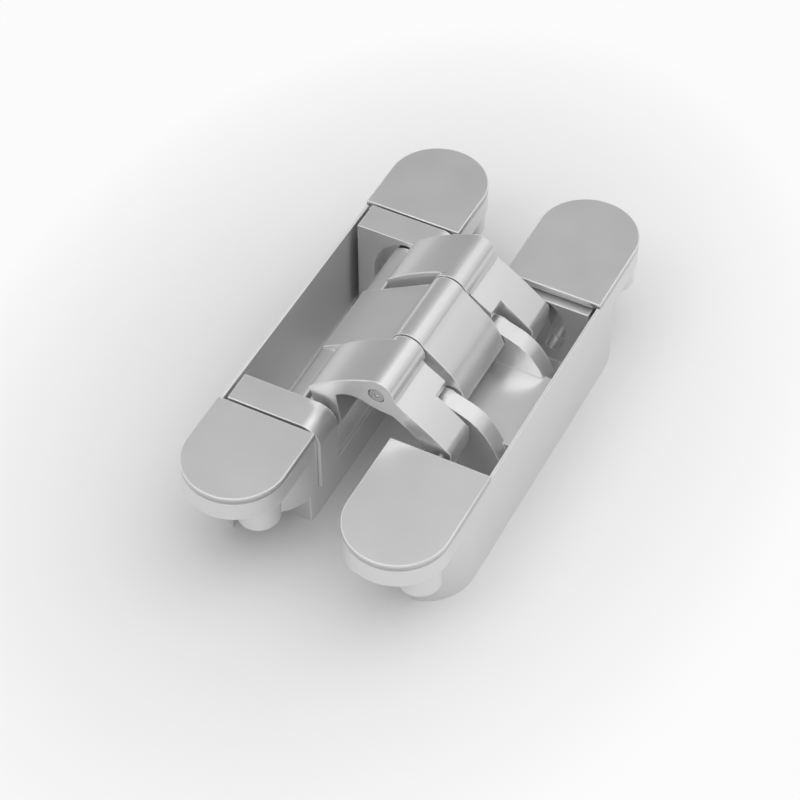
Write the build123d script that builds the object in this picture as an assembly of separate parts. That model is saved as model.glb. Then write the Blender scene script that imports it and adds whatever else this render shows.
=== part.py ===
from build123d import *
import math
import os

os.makedirs("parts", exist_ok=True)

# A concealed door hinge laid out flat, fully open. Dimensions are in millimetres.
# X runs across both housings, Y along them and Z up. The pieces are drawn with the cover faces
# at Z = 0 and X = 0 midway between the housings, and lifted by DEPTH when they are saved.

# Housings
WIDTH = 24.0
LENGTH = 120.0
DEPTH = 27.0
HOUSING_GAP = 14.8
COVER_THICKNESS = 1.7
FLANGE_THICKNESS = 5.1
RIM_DROP = 1.0
OUTER_WALL = 0.7
INNER_WALL = 1.2
FLOOR = 1.5
ROUND_CENTRE = LENGTH / 2 - 25.0
OPENING_HALF = ROUND_CENTRE - 0.7
LOW_WALL_TOP = -18.3
NOTCH_START = ROUND_CENTRE + 2.4
NOTCH_WIDTH = 15.0
NOTCH_TOP = -18.7
POCKET_WALL = 1.7
POCKET_FLOOR = -17.0

# Covers
FRAME_COVER_START = ROUND_CENTRE - 0.3
LEAF_COVER_START = ROUND_CENTRE - 6.8
COVER_EDGE = 0.3
PEG_RADIUS = 1.4
PEG_LENGTH = 3.0
PEG_CLEARANCE = 0.05
PEG_OFFSET = WIDTH / 2 - 3.2
PEG_Y = LENGTH / 2 - 16.6
END_PEG_Y = LENGTH / 2 - 3.8

# Mounting screws
SCREW_HALF_SPACING = WIDTH / 2 - 5.7
SCREW_Y = LENGTH / 2 - 9.8
SCREW_HOLE_RADIUS = 2.25
SCREW_HEAD_RADIUS = 4.3
BOSS_RADIUS = 4.8
BOSS_BOTTOM = -13.4

# Carriages
SEAT_GAP = 0.2
BLOCK_OUTER = OPENING_HALF - SEAT_GAP
BLOCK_INNER = BLOCK_OUTER - 7.8
BLOCK_WALL_GAP = 1.2
BLOCK_END_X = 6.6
BLOCK_ROUND = 4.8
LEAF_BLOCK_TOP = -2.5
STEP_GAP = 0.4
BRIDGE_WIDTH = 5.5
BRIDGE_TOP = -19.5
PLATE_TOP = -20.6
TONGUE_END = ROUND_CENTRE + 9.0
TONGUE_THICKNESS = 4.0
GROOVE_DEPTH = 4.0
GLIDE_CLEARANCE = 0.05
GROOVE_STEPS = 12
SIDE_GAP = 0.4
INNER_ARM_HALF = 9.8
LUG_INNER = INNER_ARM_HALF + SIDE_GAP
LUG_OUTER = LUG_INNER + 4.6
LUG_BOSS = 3.7
WEB_START = 13.8
WEB_TOP = -9.6
WEB_THICKNESS = 3.0

# Clamp screws and eccentrics in the pockets
CLAMP_OFFSET = WIDTH / 2 - 6.8
ECCENTRIC_OFFSET = 7.6 - WIDTH / 2
CLAMP_Y = ROUND_CENTRE + 4.8
CLAMP_RADIUS = 1.6
CLAMP_HEAD_RADIUS = 2.9
CLAMP_HEAD_HEIGHT = 1.8
CLAMP_THREAD_DEPTH = 6.0
ECCENTRIC_RADIUS = 2.4
ECCENTRIC_SPIGOT = 1.5
ECCENTRIC_THROW = 0.6
SPIGOT_DEPTH = 1.2
SCREW_CLEARANCE = 0.3

# Linkage, as X and Z of the pivots with the hinge open, and the turns that close it
KNUCKLE = (2.4, 7.6)
KNUCKLE_CLOSED = (-25.8, 0.0)
CLOSED_GAP = 4.0
OUTER_TURN = 116.0
INNER_TURN = 75.0
BAR = (-16.9, -3.1)
SLIDE_PIN = (17.8, -4.9)

# Arms
KNUCKLE_RADIUS = 4.3
ARM_INNER = INNER_ARM_HALF + SIDE_GAP
ARM_OUTER = BLOCK_INNER - 1.1
FLANK_INNER = ARM_INNER + 1.2
FLAP_INNER = LUG_OUTER + 1.2
FLAP_STEP_X = 12.2
FLAP_STEP_UNDER = 2.0
HUB_RADIUS = 2.9
INNER_EYE_RADIUS = 3.2
PIN_RADIUS = 2.0
FRAME_PIN_RADIUS = 1.6
PRESS_CLEARANCE = 0.02
RUNNING_CLEARANCE = 0.05
PIN_RECESS = 0.3
SPIGOT_RADIUS = 1.2
GLIDE_RADIUS = 1.9
GLIDE_END_GAP = 0.3
SLIDE_PIN_START = FLAP_INNER + 2.0
WASHER_RADIUS = 3.4
WASHER_THICKNESS = 0.3

MIDDLE = HOUSING_GAP / 2 + WIDTH / 2
GAP_FACE = HOUSING_GAP / 2
OUTER_FACE = GAP_FACE + WIDTH
WALL_FACE = OUTER_FACE - OUTER_WALL
BLOCK_FAR_X = WALL_FACE - BLOCK_WALL_GAP
FLANGE_BOTTOM = -COVER_THICKNESS - FLANGE_THICKNESS
FLOOR_TOP = -DEPTH + FLOOR
BLOCK_BOTTOM = FLOOR_TOP + SEAT_GAP
STEP_X = GAP_FACE + INNER_WALL + STEP_GAP
TONGUE_BOTTOM = POCKET_FLOOR + SEAT_GAP


def turned(point, centre, degrees):
    """A point of the X-Z plane turned about a centre, positive from X towards Z."""
    c = math.cos(math.radians(degrees))
    s = math.sin(math.radians(degrees))
    x = point[0] - centre[0]
    z = point[1] - centre[1]
    return (centre[0] + x * c - z * s, centre[1] + x * s + z * c)


def turn_centre(start, end, degrees):
    """The centre about which a turn by the given angle takes start to end."""
    half = math.tan(math.radians(degrees) / 2)
    dx = end[0] - start[0]
    dz = end[1] - start[1]
    return ((start[0] + end[0]) / 2 - dz / half / 2, (start[1] + end[1]) / 2 + dx / half / 2)


KNUCKLE_IN_LEAF = (-KNUCKLE_CLOSED[0], CLOSED_GAP - KNUCKLE_CLOSED[1])
FRAME_PIVOT = turn_centre(KNUCKLE, KNUCKLE_CLOSED, OUTER_TURN)
LEAF_PIVOT = turn_centre(KNUCKLE, KNUCKLE_IN_LEAF, INNER_TURN - 180)


def bar_at(share):
    """Where the inner arm's bar is in the frame housing at a share of the closing turn."""
    knuckle = turned(KNUCKLE, FRAME_PIVOT, OUTER_TURN * share)
    moved = turned(BAR, KNUCKLE, INNER_TURN * share)
    return (moved[0] + knuckle[0] - KNUCKLE[0], moved[1] + knuckle[1] - KNUCKLE[1])


def slide_pin_at(share):
    """Where the outer arm's slide pin is in the leaf housing at a share of the closing turn."""
    knuckle = turned(KNUCKLE, LEAF_PIVOT, (INNER_TURN - 180) * share)
    moved = turned(SLIDE_PIN, KNUCKLE, (OUTER_TURN - 180) * share)
    return (moved[0] + knuckle[0] - KNUCKLE[0], moved[1] + knuckle[1] - KNUCKLE[1])


def slab(face, low, high):
    """A face drawn in X and Z, made solid between two Y positions."""
    return extrude(Plane.XZ.offset(-high) * face, high - low)


def block(x, y, z):
    """A box between pairs of coordinates."""
    size = Box(abs(x[1] - x[0]), abs(y[1] - y[0]), abs(z[1] - z[0]))
    return Pos(sum(x) / 2, sum(y) / 2, sum(z) / 2) * size


def rod(centre, radius, low, high):
    """A cylinder along Y about a point given as X and Z."""
    return slab(Pos(*centre) * Circle(radius), low, high)


def post(x, y, radius, low, high):
    """A cylinder along Z."""
    return Pos(x, y, (low + high) / 2) * Cylinder(radius, high - low)


def both_ends(piece):
    return piece + mirror(piece, Plane.XZ)


def stadium(half_length, radius):
    """A plan outline with full round ends, about the middle of the leaf housing."""
    return Pos(MIDDLE, 0) * SlotOverall(2 * half_length, 2 * radius, rotation=90)


def save(name, piece):
    export_step(Pos(0, 0, DEPTH) * piece, f"parts/{name}.step")


# Housings, drawn on the leaf side


def screw_places():
    return [(MIDDLE + SCREW_HALF_SPACING, SCREW_Y), (MIDDLE - SCREW_HALF_SPACING, SCREW_Y)]


def peg_places():
    return [(MIDDLE + PEG_OFFSET, PEG_Y), (MIDDLE - PEG_OFFSET, PEG_Y), (MIDDLE, END_PEG_Y)]


def housing_body(cover_start):
    flange = Pos(0, 0, FLANGE_BOTTOM) * extrude(stadium(LENGTH / 2, WIDTH / 2), FLANGE_THICKNESS)
    deep = extrude(stadium(ROUND_CENTRE + WIDTH / 2, WIDTH / 2), DEPTH - COVER_THICKNESS)
    rim = block((WALL_FACE, OUTER_FACE), (-cover_start, cover_start), (-COVER_THICKNESS - 1, -RIM_DROP))
    return flange + Pos(0, 0, -DEPTH) * deep + rim


def housing_end_cuts():
    notch = block(
        (GAP_FACE - 1, GAP_FACE + NOTCH_WIDTH), (NOTCH_START, LENGTH), (-DEPTH - 1, NOTCH_TOP)
    )
    cuts = notch
    for x, y in screw_places():
        cuts += post(x, y, SCREW_HOLE_RADIUS, -DEPTH, 1)
        depth = SCREW_HEAD_RADIUS - SCREW_HOLE_RADIUS
        sink = Cone(SCREW_HOLE_RADIUS, SCREW_HEAD_RADIUS, depth)
        cuts += Pos(x, y, -COVER_THICKNESS - depth / 2) * sink
    for x, y in peg_places():
        cuts += post(x, y, PEG_RADIUS + PEG_CLEARANCE, -COVER_THICKNESS - PEG_LENGTH - 0.5, 1)
    cuts += clamp_thread()
    cuts += eccentric_seat()
    return both_ends(cuts)


def housing_hollow():
    well = block((GAP_FACE + INNER_WALL, WALL_FACE), (-OPENING_HALF, OPENING_HALF), (FLOOR_TOP, 1))
    mouth = block((0, MIDDLE), (-OPENING_HALF, OPENING_HALF), (LOW_WALL_TOP, 1))
    pocket = extrude(stadium(ROUND_CENTRE + WIDTH / 2 - POCKET_WALL, WIDTH / 2 - POCKET_WALL), DEPTH)
    return well + mouth + Pos(0, 0, POCKET_FLOOR) * pocket


def clamp_thread():
    low = POCKET_FLOOR - CLAMP_THREAD_DEPTH - SEAT_GAP
    return post(MIDDLE + CLAMP_OFFSET, CLAMP_Y, CLAMP_RADIUS + PRESS_CLEARANCE, low, POCKET_FLOOR + 1)


def eccentric_seat():
    radius = ECCENTRIC_SPIGOT + RUNNING_CLEARANCE
    low = POCKET_FLOOR - SPIGOT_DEPTH - SEAT_GAP
    return post(MIDDLE + ECCENTRIC_OFFSET, CLAMP_Y, radius, low, POCKET_FLOOR + 1)


def housing(cover_start):
    bosses = [post(x, y, BOSS_RADIUS, BOSS_BOTTOM, FLANGE_BOTTOM + 1) for x, y in screw_places()]
    piece = housing_body(cover_start) + both_ends(bosses[0] + bosses[1])
    return piece - housing_hollow() - housing_end_cuts()


def cover(start):
    """The rear cover of the leaf housing: a plate with three pegs under it."""
    beyond = Pos(MIDDLE, start + LENGTH / 2) * Rectangle(2 * WIDTH, LENGTH)
    outline = stadium(LENGTH / 2, WIDTH / 2) & beyond
    plate = Pos(0, 0, -COVER_THICKNESS) * extrude(outline, COVER_THICKNESS)
    plate = fillet(plate.faces().sort_by(Axis.Z)[-1].edges(), COVER_EDGE)
    for x, y in peg_places():
        plate += post(x, y, PEG_RADIUS, -COVER_THICKNESS - PEG_LENGTH, -COVER_THICKNESS + 0.5)
    return plate


# Carriages


def groove(position, low, high):
    """The way that a glide cuts: two side curves along its path, closed by round ends."""
    half = GLIDE_RADIUS + GLIDE_CLEARANCE
    path = Spline([Vector(*position(step / GROOVE_STEPS)) for step in range(GROOVE_STEPS + 1)])
    shares = [step / GROOVE_STEPS for step in range(GROOVE_STEPS + 1)]
    sides = [(path % t).cross(Vector(0, 0, 1)) * half for t in shares]
    right = [path @ t + side for t, side in zip(shares, sides)]
    left = [path @ t - side for t, side in zip(shares, sides)]
    start = ThreePointArc(left[0], path @ 0 - path % 0 * half, right[0])
    end = ThreePointArc(right[-1], path @ 1 + path % 1 * half, left[-1])
    return slab(make_face(Spline(right) + end + Spline(left) + start), low, high)


def tongue():
    """The tongue that runs under the rear cover, on the leaf side."""
    top = TONGUE_BOTTOM + TONGUE_THICKNESS
    low = block((GAP_FACE, OUTER_FACE), (BLOCK_OUTER - 0.5, TONGUE_END), (TONGUE_BOTTOM, top))
    outline = stadium(ROUND_CENTRE + WIDTH / 2 - 2 * POCKET_WALL, WIDTH / 2 - 2 * POCKET_WALL)
    piece = low & Pos(0, 0, -DEPTH) * extrude(outline, DEPTH)
    piece -= post(MIDDLE + CLAMP_OFFSET, CLAMP_Y, CLAMP_RADIUS + SCREW_CLEARANCE, -DEPTH, 0)
    x = MIDDLE + ECCENTRIC_OFFSET
    return piece - post(x, CLAMP_Y + ECCENTRIC_THROW, ECCENTRIC_RADIUS + RUNNING_CLEARANCE, -DEPTH, 0)


def frame_block():
    """The rear block of the frame carriage, with its pin hole and its groove."""
    round_centre = (-BLOCK_END_X - BLOCK_ROUND, -BLOCK_ROUND)
    face = make_face(
        Polyline(
            (-BLOCK_FAR_X, BLOCK_BOTTOM),
            (-BLOCK_FAR_X, 0),
            (round_centre[0], 0),
            (-BLOCK_END_X, round_centre[1]),
            (-BLOCK_END_X, LOW_WALL_TOP + STEP_GAP),
            (-STEP_X, LOW_WALL_TOP + STEP_GAP),
            (-STEP_X, BLOCK_BOTTOM),
            close=True,
        )
    )
    face += Pos(*round_centre) * Circle(BLOCK_ROUND)
    piece = slab(face, BLOCK_INNER, BLOCK_OUTER)
    piece -= groove(bar_at, 0, BLOCK_INNER + GROOVE_DEPTH)
    piece -= rod(FRAME_PIVOT, FRAME_PIN_RADIUS + PRESS_CLEARANCE, 0, LENGTH)
    return piece


def frame_carriage():
    across = (-STEP_X - BRIDGE_WIDTH, -STEP_X)
    bridge = block(across, (-BLOCK_INNER - 1, BLOCK_INNER + 1), (BLOCK_BOTTOM, BRIDGE_TOP))
    return both_ends(frame_block() + mirror(tongue(), Plane.YZ)) + bridge


def leaf_block():
    """The rear block of the leaf carriage, with its groove."""
    along = (BLOCK_INNER, BLOCK_OUTER)
    upper = block((BLOCK_END_X, BLOCK_FAR_X), along, (LOW_WALL_TOP + STEP_GAP, LEAF_BLOCK_TOP))
    lower = block((STEP_X, BLOCK_FAR_X), along, (BLOCK_BOTTOM, LOW_WALL_TOP + 1))
    return upper + lower - groove(slide_pin_at, 0, BLOCK_INNER + GROOVE_DEPTH)


def leaf_lug():
    """The rear lug, with a boss round the pivot and a rounded shoulder behind it."""
    foot = (BLOCK_FAR_X, PLATE_TOP)
    left = LEAF_PIVOT[0] - LUG_BOSS
    heel = (BLOCK_FAR_X - 2.0, -12.0)
    shoulder = Spline((13.6, 0.25), (16.2, -0.6), (21.0, -2.8), (BLOCK_FAR_X - 4.3, -7.7), heel)
    rest = Polyline(heel, foot, (left, PLATE_TOP), (left, LEAF_PIVOT[1]), (13.6, 0.25))
    face = make_face(shoulder + rest) + Pos(*LEAF_PIVOT) * Circle(LUG_BOSS)
    piece = slab(face, LUG_INNER, LUG_OUTER)
    return piece - rod(LEAF_PIVOT, PIN_RADIUS + PRESS_CLEARANCE, 0, LENGTH)


def leaf_carriage():
    plate = block((STEP_X, BLOCK_FAR_X), (-BLOCK_OUTER, BLOCK_OUTER), (BLOCK_BOTTOM, PLATE_TOP))
    across = (WEB_START, BLOCK_FAR_X)
    web = block(across, (-LUG_INNER - 1, LUG_INNER + 1), (WEB_TOP - WEB_THICKNESS, WEB_TOP))
    saddle = both_ends(leaf_lug()) + web
    return saddle + (both_ends(leaf_block() + tongue()) + plate)


# Arms


def outer_arm_outline():
    """The whole side outline of the outer arm: hub, hood, knuckle and flap."""
    hood = ThreePointArc((-14.0, 2.6), (-6.0, 8.35), (1.3, 11.75))
    over = ThreePointArc((1.3, 11.75), (5.3, 10.75), (6.6, 8.2))
    neck = ThreePointArc((6.6, 8.2), (6.85, 7.6), (7.4, 7.05))
    flap = ThreePointArc((7.4, 7.05), (13.9, 2.75), (20.4, -2.4))
    end = Polyline((20.4, -2.4), (20.4, -6.8), (16.4, -6.8), (13.3, -2.6))
    under = ThreePointArc((13.3, -2.6), (9.6, 0.75), (5.9, 3.3))
    belly = ThreePointArc((5.9, 3.3), (2.4, 3.6), (-1.0, 4.6))
    arch = ThreePointArc((-1.0, 4.6), (-4.4, 4.6), (-7.6, 2.9))
    right = (FRAME_PIVOT[0] + HUB_RADIUS, FRAME_PIVOT[1])
    left = (FRAME_PIVOT[0] - HUB_RADIUS, FRAME_PIVOT[1])
    leg = Polyline((-7.6, 2.9), right, left, (-14.0, 2.6))
    face = make_face(hood + over + neck + flap + end + under + belly + arch + leg)
    return face + Pos(*FRAME_PIVOT) * Circle(HUB_RADIUS)


def flap_relief():
    """What the thin inner part of the flap leaves free over the lugs."""
    beyond = Polyline(
        (5.2, 4.4),
        (7.4, 4.0),
        (FLAP_STEP_X, FLAP_STEP_UNDER),
        (FLAP_STEP_X, LENGTH),
        (LENGTH, LENGTH),
        (LENGTH, -DEPTH),
        (5.2, -DEPTH),
        close=True,
    )
    return make_face(beyond)


def outer_arm():
    """The rear half of the outer arm."""
    outline = outer_arm_outline()
    inner_part = outline - flap_relief()
    boss = inner_part & Pos(*KNUCKLE) * Circle(KNUCKLE_RADIUS)
    piece = slab(outline, FLAP_INNER, ARM_OUTER) + slab(inner_part, FLANK_INNER, FLAP_INNER)
    piece += slab(boss, ARM_INNER, FLANK_INNER)
    piece -= rod(KNUCKLE, PIN_RADIUS + PRESS_CLEARANCE, 0, LENGTH)
    piece -= rod(FRAME_PIVOT, FRAME_PIN_RADIUS + RUNNING_CLEARANCE, 0, LENGTH)
    return piece - rod(SLIDE_PIN, SPIGOT_RADIUS + PRESS_CLEARANCE, SLIDE_PIN_START, LENGTH)


def inner_arm_outline():
    flat = Polyline((-19.2, -2.0), (-12.7, 1.8), (-2.9, 7.6), (-1.9, 8.0))
    over = ThreePointArc((-1.9, 8.0), (2.0, 11.9), (6.0, 9.9))
    elbow = ThreePointArc((6.0, 9.9), (10.5, 6.35), (12.8, 4.2))
    nose = ThreePointArc((12.8, 4.2), (14.9, 0.9), (16.5, -2.7))
    eye = Polyline((16.5, -2.7), LEAF_PIVOT, (9.5, -3.3))
    under = ThreePointArc((9.5, -3.3), (7.7, 1.3), (2.4, 3.3))
    back = Polyline((2.4, 3.3), (-0.8, 4.7), (-14.6, -3.6), (-16.0, -5.4), (-18.4, -5.4), (-19.2, -2.0))
    face = make_face(flat + over + elbow + nose + eye + under + back)
    return face + Pos(*LEAF_PIVOT) * Circle(INNER_EYE_RADIUS) + Pos(*KNUCKLE) * Circle(KNUCKLE_RADIUS)


def bar_outline():
    """The section of the cross bar, with a slightly crowned top."""
    top = ThreePointArc((-19.3, -2.9), (-17.6, -1.75), (-15.2, -1.4))
    below = Polyline((-15.2, -1.4), (-14.7, -2.6), (-15.6, -5.4), (-18.4, -5.4), (-19.3, -2.9))
    return make_face(top + below)


def inner_arm():
    piece = slab(inner_arm_outline(), -INNER_ARM_HALF, INNER_ARM_HALF)
    shoulder = BLOCK_INNER - GLIDE_END_GAP
    piece += slab(bar_outline(), -shoulder, shoulder)
    end = BLOCK_INNER + GROOVE_DEPTH - GLIDE_END_GAP
    piece += rod(BAR, SPIGOT_RADIUS, -end, end)
    piece -= rod(KNUCKLE, PIN_RADIUS + RUNNING_CLEARANCE, -LENGTH, LENGTH)
    return piece - rod(LEAF_PIVOT, PIN_RADIUS + RUNNING_CLEARANCE, -LENGTH, LENGTH)


# Pins, glides, washers and screws


def pin(centre, radius, low, high):
    piece = rod(centre, radius, low, high)
    return chamfer(piece.edges().filter_by(GeomType.CIRCLE), 0.3)


def centre_pin():
    half = ARM_OUTER - PIN_RECESS
    piece = pin(KNUCKLE, PIN_RADIUS, -half, half)
    for y in (-half, half):
        piece -= Pos(KNUCKLE[0], y, KNUCKLE[1]) * Sphere(0.7)
    return piece


def frame_pivot_pin():
    return pin(FRAME_PIVOT, FRAME_PIN_RADIUS, FLANK_INNER + PIN_RECESS, BLOCK_OUTER - PIN_RECESS)


def glide(centre):
    """The rear glide round a spigot."""
    low = BLOCK_INNER - GLIDE_END_GAP + 0.05
    high = BLOCK_INNER + GROOVE_DEPTH - GLIDE_END_GAP
    return rod(centre, GLIDE_RADIUS, low, high) - rod(centre, SPIGOT_RADIUS + RUNNING_CLEARANCE, 0, LENGTH)


def slide_pin():
    return pin(SLIDE_PIN, SPIGOT_RADIUS, SLIDE_PIN_START + 0.3, BLOCK_INNER + GROOVE_DEPTH - GLIDE_END_GAP)


def knuckle_washer():
    low = INNER_ARM_HALF + 0.05
    ring = rod(KNUCKLE, WASHER_RADIUS, low, low + WASHER_THICKNESS)
    return ring - rod(KNUCKLE, PIN_RADIUS + RUNNING_CLEARANCE, 0, LENGTH)


def clamp_screw():
    """The rear clamp screw of the leaf side, with a hexagon socket."""
    x = MIDDLE + CLAMP_OFFSET
    head_low = TONGUE_BOTTOM + TONGUE_THICKNESS
    head = post(x, CLAMP_Y, CLAMP_HEAD_RADIUS, head_low, head_low + CLAMP_HEAD_HEIGHT)
    shank = post(x, CLAMP_Y, CLAMP_RADIUS, POCKET_FLOOR - CLAMP_THREAD_DEPTH, head_low + 0.5)
    socket = extrude(Pos(x, CLAMP_Y, head_low + 0.6) * RegularPolygon(1.5, 6), 2)
    return head + shank - socket


def eccentric():
    """The rear eccentric of the leaf side, with a slot across its top."""
    x = MIDDLE + ECCENTRIC_OFFSET
    top = TONGUE_BOTTOM + TONGUE_THICKNESS + 0.4
    disc = post(x, CLAMP_Y + ECCENTRIC_THROW, ECCENTRIC_RADIUS, POCKET_FLOOR + SEAT_GAP / 2, top)
    spigot = post(x, CLAMP_Y, ECCENTRIC_SPIGOT, POCKET_FLOOR - SPIGOT_DEPTH, top - 1)
    slot = block((x - 5, x + 5), (CLAMP_Y + 0.2, CLAMP_Y + 1.0), (top - 0.9, top + 1))
    return disc + spigot - slot


def save_pair(name, piece):
    """Saves a rear piece and its mirror image at the front."""
    save(name + "_rear", piece)
    save(name + "_front", mirror(piece, Plane.XZ))


def build():
    save("frame_shell", mirror(housing(FRAME_COVER_START), Plane.YZ))
    save("leaf_shell", housing(LEAF_COVER_START))
    save_pair("frame_cover", mirror(cover(FRAME_COVER_START), Plane.YZ))
    save_pair("leaf_cover", cover(LEAF_COVER_START))
    save("frame_carriage", frame_carriage())
    save("leaf_carriage", leaf_carriage())
    save_pair("outer_arm", outer_arm())
    save("inner_arm", inner_arm())
    save("centre_pin", centre_pin())
    save_pair("frame_pivot_pin", frame_pivot_pin())
    save("leaf_pivot_pin", pin(LEAF_PIVOT, PIN_RADIUS, PIN_RECESS - LUG_OUTER, LUG_OUTER - PIN_RECESS))
    save_pair("inner_glide", glide(BAR))
    save_pair("slide_pin", slide_pin())
    save_pair("outer_glide", glide(SLIDE_PIN))
    save_pair("knuckle_washer", knuckle_washer())
    save_pair("leaf_clamp_screw", clamp_screw())
    save_pair("frame_clamp_screw", mirror(clamp_screw(), Plane.YZ))
    save_pair("leaf_eccentric", eccentric())
    save_pair("frame_eccentric", mirror(eccentric(), Plane.YZ))


build()
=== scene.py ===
# %% [markdown]
# # A concealed door hinge in satin silver
# This lesson dresses a finished CAD model of a concealed door hinge. The hinge lies flat and open
# on a white table: two round-ended housings, four clip-on covers and a pair of folding arms.
# The castings keep their exact CAD shape. Blender adds what a CAD file can't hold: small rounded
# edges that catch the light, the grain of a blasted and lacquered zinc casting, and the studio.

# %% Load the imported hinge
import math

import bpy
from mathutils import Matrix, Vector


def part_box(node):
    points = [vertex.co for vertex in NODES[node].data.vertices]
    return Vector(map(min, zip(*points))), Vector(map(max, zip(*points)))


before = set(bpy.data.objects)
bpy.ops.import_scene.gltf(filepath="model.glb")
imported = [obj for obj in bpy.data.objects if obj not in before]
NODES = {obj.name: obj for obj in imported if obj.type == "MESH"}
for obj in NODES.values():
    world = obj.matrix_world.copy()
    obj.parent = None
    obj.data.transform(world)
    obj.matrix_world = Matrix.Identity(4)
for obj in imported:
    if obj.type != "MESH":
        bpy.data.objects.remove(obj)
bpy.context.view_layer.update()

# %% [markdown]
# ## Sizes used below
# Everything is in metres. The cover faces lie one housing depth above the table, so that depth is
# measured from the frame and not typed in again.

# %% Sizes
MM = 0.001
COVER_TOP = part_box("frame_cover_front")[1][2]
BEVEL_WIDTH = 0.24 * MM
BEVEL_SEGMENTS = 2
WELD_DISTANCE = 0.001 * MM
FLAT_ANGLE = math.radians(0.5)
SHARP_ANGLE = math.radians(52)
SHADING_WEIGHT = 100
print("cover faces", round(COVER_TOP / MM, 2), "mm above the table")

# %% [markdown]
# ## A small language for shader maths
# A wrapped socket lets a pattern be written as a formula, such as `noise * 0.4 + 0.3`. Each
# operator adds one Math node. One method, `node`, makes every other kind of node.

# %% Shader helpers


class Field:
    """A node socket that can be added, subtracted, multiplied and divided."""

    def __init__(self, tree, socket):
        self.tree = tree
        self.socket = socket

    def math(self, operation, other=None, flip=False):
        node = self.tree.nodes.new("ShaderNodeMath")
        node.operation = operation
        pair = [self, other]
        if flip:
            pair.reverse()
        for slot, value in zip(node.inputs, pair):
            feed(self.tree, slot, value)
        return Field(self.tree, node.outputs[0])

    def __add__(self, other):
        return self.math("ADD", other)

    def __radd__(self, other):
        return self.math("ADD", other)

    def __sub__(self, other):
        return self.math("SUBTRACT", other)

    def __rsub__(self, other):
        return self.math("SUBTRACT", other, flip=True)

    def __mul__(self, other):
        return self.math("MULTIPLY", other)

    def __rmul__(self, other):
        return self.math("MULTIPLY", other)

    def __truediv__(self, other):
        return self.math("DIVIDE", other)


def feed(tree, slot, value):
    """Gives a node's input a link or a plain value."""
    if isinstance(value, Field):
        tree.links.new(value.socket, slot)
    elif value is not None:
        slot.default_value = value


class Recipe:
    """A material under construction."""

    def __init__(self, name):
        self.material = bpy.data.materials.new(name)
        self.material.use_nodes = True
        self.tree = self.material.node_tree
        self.surface = self.tree.nodes["Principled BSDF"]

    def node(self, kind, output=0, settings=None, **inputs):
        node = self.tree.nodes.new(kind)
        for key, value in (settings or {}).items():
            setattr(node, key, value)
        for key, value in inputs.items():
            feed(self.tree, node.inputs[key.replace("_", " ")], value)
        return Field(self.tree, node.outputs[output])

    def blend(self, share, a, b):
        """A colour that goes from a to b as the share goes from 0 to 1."""
        node = self.tree.nodes.new("ShaderNodeMix")
        node.data_type = "RGBA"
        feed(self.tree, node.inputs["Factor"], share)
        feed(self.tree, node.inputs["A"], a)
        feed(self.tree, node.inputs["B"], b)
        return Field(self.tree, node.outputs["Result"])

    def place(self):
        return self.node("ShaderNodeTexCoord", output="Object")

    def noise(self, scale, detail=3.0, roughness=0.5):
        return self.node(
            "ShaderNodeTexNoise",
            Vector=self.place(),
            Scale=scale,
            Detail=detail,
            Roughness=roughness,
        )

    def bump(self, height, distance, strength=1.0):
        return self.node("ShaderNodeBump", Height=height, Distance=distance, Strength=strength)

    def height(self):
        """How high a point lies in its piece's own coordinates."""
        return self.node("ShaderNodeSeparateXYZ", output=2, Vector=self.place())

    def finish(self, **inputs):
        for key, value in inputs.items():
            feed(self.tree, self.surface.inputs[key.replace("_", " ")], value)
        return self.material


def grey(level):
    """A neutral colour of one level in all three channels."""
    return (level, level, level, 1.0)


# %% [markdown]
# ## The painted highlight on the rim of the covers
# A highlight is painted on each cover's rounded rim: the first tenth of a millimetre under a
# cover's face is paler and less metallic than the face. Height alone finds that rim: the mask is 1
# between a hair below the face and the rim's depth. It needs the height of the face in the cover's
# own coordinates. That is read from the covers' boxes, and the print shows that all four agree.

# %% Where the rim highlight is painted
HIGHLIGHT_BAND_START = 0.004 * MM
HIGHLIGHT_BAND_DEPTH = 0.13 * MM

covers = [piece for name, piece in NODES.items() if "cover" in name]
tops = [max(corner[2] for corner in piece.bound_box) for piece in covers]
local_top = tops[0]


def painted_highlight_mask(recipe, top):
    """1 on the rounded rim just under a cover's face, where a highlight is painted, else 0."""
    depth = top - recipe.height()
    return depth.math("GREATER_THAN", HIGHLIGHT_BAND_START) * depth.math("LESS_THAN", HIGHLIGHT_BAND_DEPTH)


print("cover tops in their own coordinates", [round(top / MM, 3) for top in tops])

# %% [markdown]
# ## The castings
# The housings, arms and carriages of a real hinge are zinc castings. They are blasted with fine
# beads, which leaves a very fine grain, and then get a silver lacquer: metal flakes in a clear
# film. Pure metal would look black in the deep wells, because it scatters no light. So the surface
# is two parts metal to one part pale paint, under a thin clear coat that draws a sharp line of
# light on each edge. A fine noise bumps the surface a little, and a slow noise varies the roughness
# by a few hundredths, as a spray gun does.

# %% Satin casting
METAL_SHARE = 0.65
# Paler, less metallic finish of the painted highlights on cover rims and bevelled edges.
PAINTED_HIGHLIGHT_METAL = 0.1
PAINTED_HIGHLIGHT_LEVEL = 0.94
CLOUD_SCALE = 90.0
SPECK_SCALE = 5200.0
TONE_SPREAD = 0.04
SPECK_HEIGHT = 0.003 * MM


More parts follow.
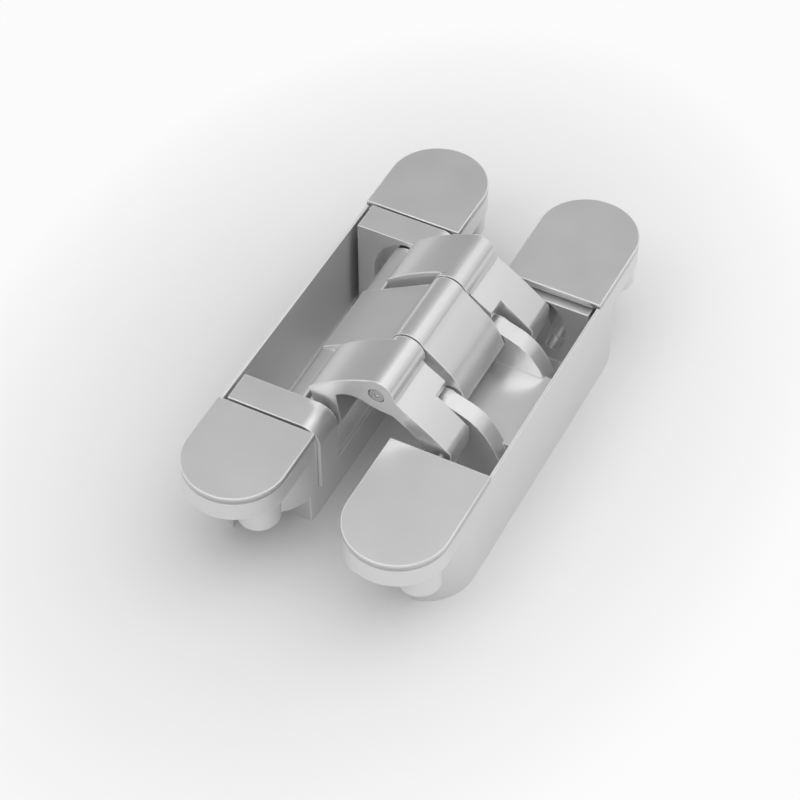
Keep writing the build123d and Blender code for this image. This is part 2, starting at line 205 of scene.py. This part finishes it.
def satin(name, level, roughness, metal=METAL_SHARE, top=None):
    """Lacquered casting; given the height of a face, a highlight is painted on its rim as well."""
    recipe = Recipe(name)
    cloud = recipe.noise(scale=CLOUD_SCALE, detail=2.0)
    speck = recipe.noise(scale=SPECK_SCALE, detail=2.0, roughness=0.6)
    tone = recipe.blend(cloud, grey(level * (1 - TONE_SPREAD)), grey(level * (1 + TONE_SPREAD)))
    shine = roughness + (cloud - 0.5) * 0.10 + (speck - 0.5) * 0.06
    # Painted highlight: on the cover's rim the colour turns pale and the metal share drops.
    if top is not None:
        rim_highlight = painted_highlight_mask(recipe, top)
        tone = recipe.blend(rim_highlight, tone, grey(PAINTED_HIGHLIGHT_LEVEL))
        metal = METAL_SHARE - rim_highlight * (METAL_SHARE - PAINTED_HIGHLIGHT_METAL)
    return recipe.finish(
        Base_Color=tone,
        Metallic=metal,
        Coat_Weight=0.4,
        Coat_Roughness=0.12,
        Roughness=shine,
        Normal=recipe.bump(speck, distance=SPECK_HEIGHT, strength=0.5),
    )


housing_finish = satin("satin_housing", 0.80, 0.33)
cover_finish = satin("satin_cover", 0.77, 0.36, top=local_top)
carriage_finish = satin("satin_carriage", 0.81, 0.32)
arm_finish = satin("satin_arm", 0.78, 0.32)
# Painted highlight for the narrow bevel faces: a pale, nearly non-metallic finish.
painted_edge_finish = satin("painted_edge_highlight", PAINTED_HIGHLIGHT_LEVEL, 0.30, metal=PAINTED_HIGHLIGHT_METAL)
castings = (housing_finish, cover_finish, carriage_finish, arm_finish, painted_edge_finish)
print("castings", [material.name for material in castings])

# %% [markdown]
# ## Pins, screws and glides
# The pins are turned steel with the fine grain of a lathe cut. The screws are darker, plated steel.
# The glides and washers are moulded plastic, matt and nearly black.

# %% Small parts


def turned_steel(name, level, roughness):
    recipe = Recipe(name)
    grain = recipe.noise(scale=2600.0, detail=1.0)
    cloud = recipe.noise(scale=150.0)
    return recipe.finish(
        Base_Color=recipe.blend(cloud, grey(level * 0.92), grey(level * 1.05)),
        Metallic=1.0,
        Roughness=roughness + (grain - 0.5) * 0.08,
        Normal=recipe.bump(grain, distance=SPECK_HEIGHT),
    )


def moulded(name, level):
    recipe = Recipe(name)
    cloud = recipe.noise(scale=400.0, detail=4.0)
    return recipe.finish(
        Base_Color=recipe.blend(cloud, grey(level * 0.8), grey(level * 1.3)),
        Roughness=0.55 + (cloud - 0.5) * 0.2,
        Normal=recipe.bump(cloud, distance=0.01 * MM),
    )


pin_finish = turned_steel("turned_pin", 0.62, 0.28)
screw_finish = turned_steel("plated_screw", 0.42, 0.35)
glide_finish = moulded("moulded_glide", 0.02)
print("small parts", [material.name for material in (pin_finish, screw_finish, glide_finish)])

# %% [markdown]
# ## Which finish goes where
# A piece's name says what it is, so the first word of this list that is found in a name decides.

# %% Choose the finishes
FINISH_BY_WORD = (
    ("shell", housing_finish),
    ("cover", cover_finish),
    ("carriage", carriage_finish),
    ("glide", glide_finish),
    ("washer", glide_finish),
    ("screw", screw_finish),
    ("eccentric", screw_finish),
    ("arm", arm_finish),
    ("pin", pin_finish),
)


def finish_for(name):
    return next(material for word, material in FINISH_BY_WORD if word in name)


print("finishes", {word: material.name for word, material in FINISH_BY_WORD})

# %% [markdown]
# ## Soft edges
# A cast edge is never razor sharp, and its thin bright line is what shows the shape of a grey part.
# Four modifiers make it. Weld joins the split edges of the CAD mesh. Decimate, in its planar mode,
# clears the triangles that cut up each flat face, since a bevel can't slide past them. Bevel rounds
# the edges that turn by more than 52 degrees, and gives its own narrow faces the second material, a
# painted highlight: a pale, nearly non-metallic finish that makes the line of light on each edge
# brighter. Weighted Normal lets the large faces decide the shading, so flat faces stay flat. The
# covers are rounded in the CAD model already and get no bevel. The mesh itself stays as the CAD
# made it.

# %% Soften the edges
SMALL_PARTS = ("glide", "washer", "screw", "eccentric", "pin")


def even_out(piece):
    weld = piece.modifiers.new("join_edges", "WELD")
    weld.merge_threshold = WELD_DISTANCE
    flat = piece.modifiers.new("flat_faces", "DECIMATE")
    flat.decimate_type = "DISSOLVE"
    flat.angle_limit = FLAT_ANGLE


def round_edges(piece):
    bevel = piece.modifiers.new("soft_edges", "BEVEL")
    bevel.width = BEVEL_WIDTH
    bevel.segments = BEVEL_SEGMENTS
    bevel.limit_method = "ANGLE"
    bevel.angle_limit = SHARP_ANGLE
    bevel.offset_type = "ABSOLUTE"
    bevel.use_clamp_overlap = False
    # The bevel faces take the second slot, the painted edge highlight.
    bevel.material = 1


def even_shading(piece):
    shading = piece.modifiers.new("even_shading", "WEIGHTED_NORMAL")
    shading.mode = "FACE_AREA"
    shading.weight = SHADING_WEIGHT


for name, piece in NODES.items():
    piece.data.materials.clear()
    piece.data.materials.append(finish_for(name))
    if any(word in name for word in SMALL_PARTS):
        continue
    even_out(piece)
    if "cover" not in name:
        # Second slot: the painted edge highlight.
        piece.data.materials.append(painted_edge_finish)
        round_edges(piece)
    even_shading(piece)
print("dressed", len(NODES), "pieces")

# %% [markdown]
# ## The table
# The photograph shows a white sheet that holds a wide soft shadow near the hinge and is pure white
# further out. A large plane takes the shadow. Its colour is pale paper with a faint grain. Turning
# the lamps up until the paper clips would bleach the metal too, so the sheet fades to plain white
# away from the hinge, in an oval stretched along the housings, and only for what the camera sees
# and what the metal mirrors.

# %% Table
FADE_START = 0.035
FADE_LENGTH = 0.075
FADE_MOST = 0.9
FADE_SHIFT = (0.012, 0.0, 0.0)
FADE_OVAL = (1.0, 0.7, 1.0)
TABLE_SIZE = 6.0

bpy.ops.mesh.primitive_plane_add(size=TABLE_SIZE, location=(0, 0, 0))
table = bpy.context.object
table.name = "table"
paper = Recipe("white_paper")
fibre = paper.noise(scale=60.0, detail=4.0)
paper.finish(
    Base_Color=paper.blend(fibre, grey(0.86), grey(0.88)),
    Roughness=0.85 + (fibre - 0.5) * 0.1,
    Normal=paper.bump(fibre, distance=0.02 * MM),
)
oval = paper.node("ShaderNodeMapping", Vector=paper.place(), Location=FADE_SHIFT, Scale=FADE_OVAL)
measure = {"operation": "LENGTH"}
away = paper.node("ShaderNodeVectorMath", output="Value", settings=measure, Vector=oval)
fade = ((away - FADE_START) / FADE_LENGTH).math("MAXIMUM", 0.0).math("MINIMUM", FADE_MOST)
seen = paper.node("ShaderNodeLightPath", output="Is Camera Ray")
mirrored = paper.node("ShaderNodeLightPath", output="Is Glossy Ray")
through = paper.node("ShaderNodeLightPath", output="Is Transmission Ray")
glow = paper.node("ShaderNodeEmission", Strength=1.0)
sheet = paper.node("ShaderNodeMixShader", Fac=(seen + mirrored + through) * fade)
shader_slots = [slot for slot in sheet.socket.node.inputs if slot.type == "SHADER"]
paper.tree.links.new(paper.surface.outputs["BSDF"], shader_slots[0])
paper.tree.links.new(glow.socket, shader_slots[1])
paper.tree.links.new(sheet.socket, paper.tree.nodes["Material Output"].inputs["Surface"])
table.data.materials.append(paper.material)
fade_end = FADE_START + FADE_MOST * FADE_LENGTH
print("table fades from", round(FADE_START / MM), "to", round(fade_end / MM, 1), "mm out")

# %% [markdown]
# ## Light
# The photograph was read like a light meter: grey levels were taken on the covers, arms, slopes,
# walls and sheet, each lamp was rendered alone, and the mix that comes nearest was worked out. One
# very broad lamp overhead does most of the work. It is broad so that no flat face mirrors it as a
# white patch. Two lamps behind on the right light the slopes, and two small ones in front draw the
# thin lines on the edges. The room itself is a dark grey, which keeps the cover faces grey.

# %% World and lamps
ROOM_LEVEL = 0.28
LAMP_AIM = Vector((0, 0, 0.01))
world = bpy.context.scene.world or bpy.data.worlds.new("room")
bpy.context.scene.world = world
world.use_nodes = True
world.node_tree.nodes["Background"].inputs["Color"].default_value = grey(1.0)
world.node_tree.nodes["Background"].inputs["Strength"].default_value = ROOM_LEVEL


def lamp(name, place, size, power):
    """A square area lamp that looks at the hinge; sizes in metres, power in watts."""
    data = bpy.data.lights.new(name, "AREA")
    data.shape = "SQUARE"
    data.size = size
    data.energy = power
    thing = bpy.data.objects.new(name, data)
    bpy.context.scene.collection.objects.link(thing)
    thing.location = place
    thing.rotation_euler = (LAMP_AIM - Vector(place)).to_track_quat("-Z", "Y").to_euler()


lamp("overhead", (0.06, -0.07, 1.0), 1.5, 6.5)
lamp("front", (-0.30, -0.55, 0.78), 0.4, 1.1)
lamp("viewer_side", (0.37, -0.72, 0.60), 0.4, 0.3)
lamp("right_back", (0.75, 0.60, 0.60), 0.8, 1.0)
lamp("right_top", (0.38, 0.50, 0.80), 0.6, 0.5)

# %% [markdown]
# ## Camera
# The view was worked out from the straight edges and round ends in the photograph: 27 degrees to
# the right of the housings' length and 48 degrees above the table, through a long lens.

# %% Camera
AIM = Vector((4.34 * MM, -17.74 * MM, COVER_TOP))
AZIMUTH = math.radians(27.21)
ELEVATION = math.radians(48.01)
DISTANCE = 524.6 * MM
LENS_MM = 108.7
SENSOR_MM = 36.0

out = Vector((
    math.sin(AZIMUTH) * math.cos(ELEVATION),
    -math.cos(AZIMUTH) * math.cos(ELEVATION),
    math.sin(ELEVATION),
))
camera_data = bpy.data.cameras.new("camera")
camera_data.lens = LENS_MM
camera_data.sensor_width = SENSOR_MM
camera = bpy.data.objects.new("camera", camera_data)
bpy.context.scene.collection.objects.link(camera)
camera.location = AIM + out * DISTANCE
camera.rotation_euler = out.to_track_quat("Z", "Y").to_euler()
bpy.context.scene.camera = camera
bpy.context.scene.view_settings.view_transform = "Standard"
print("camera", [round(v, 4) for v in camera.location])
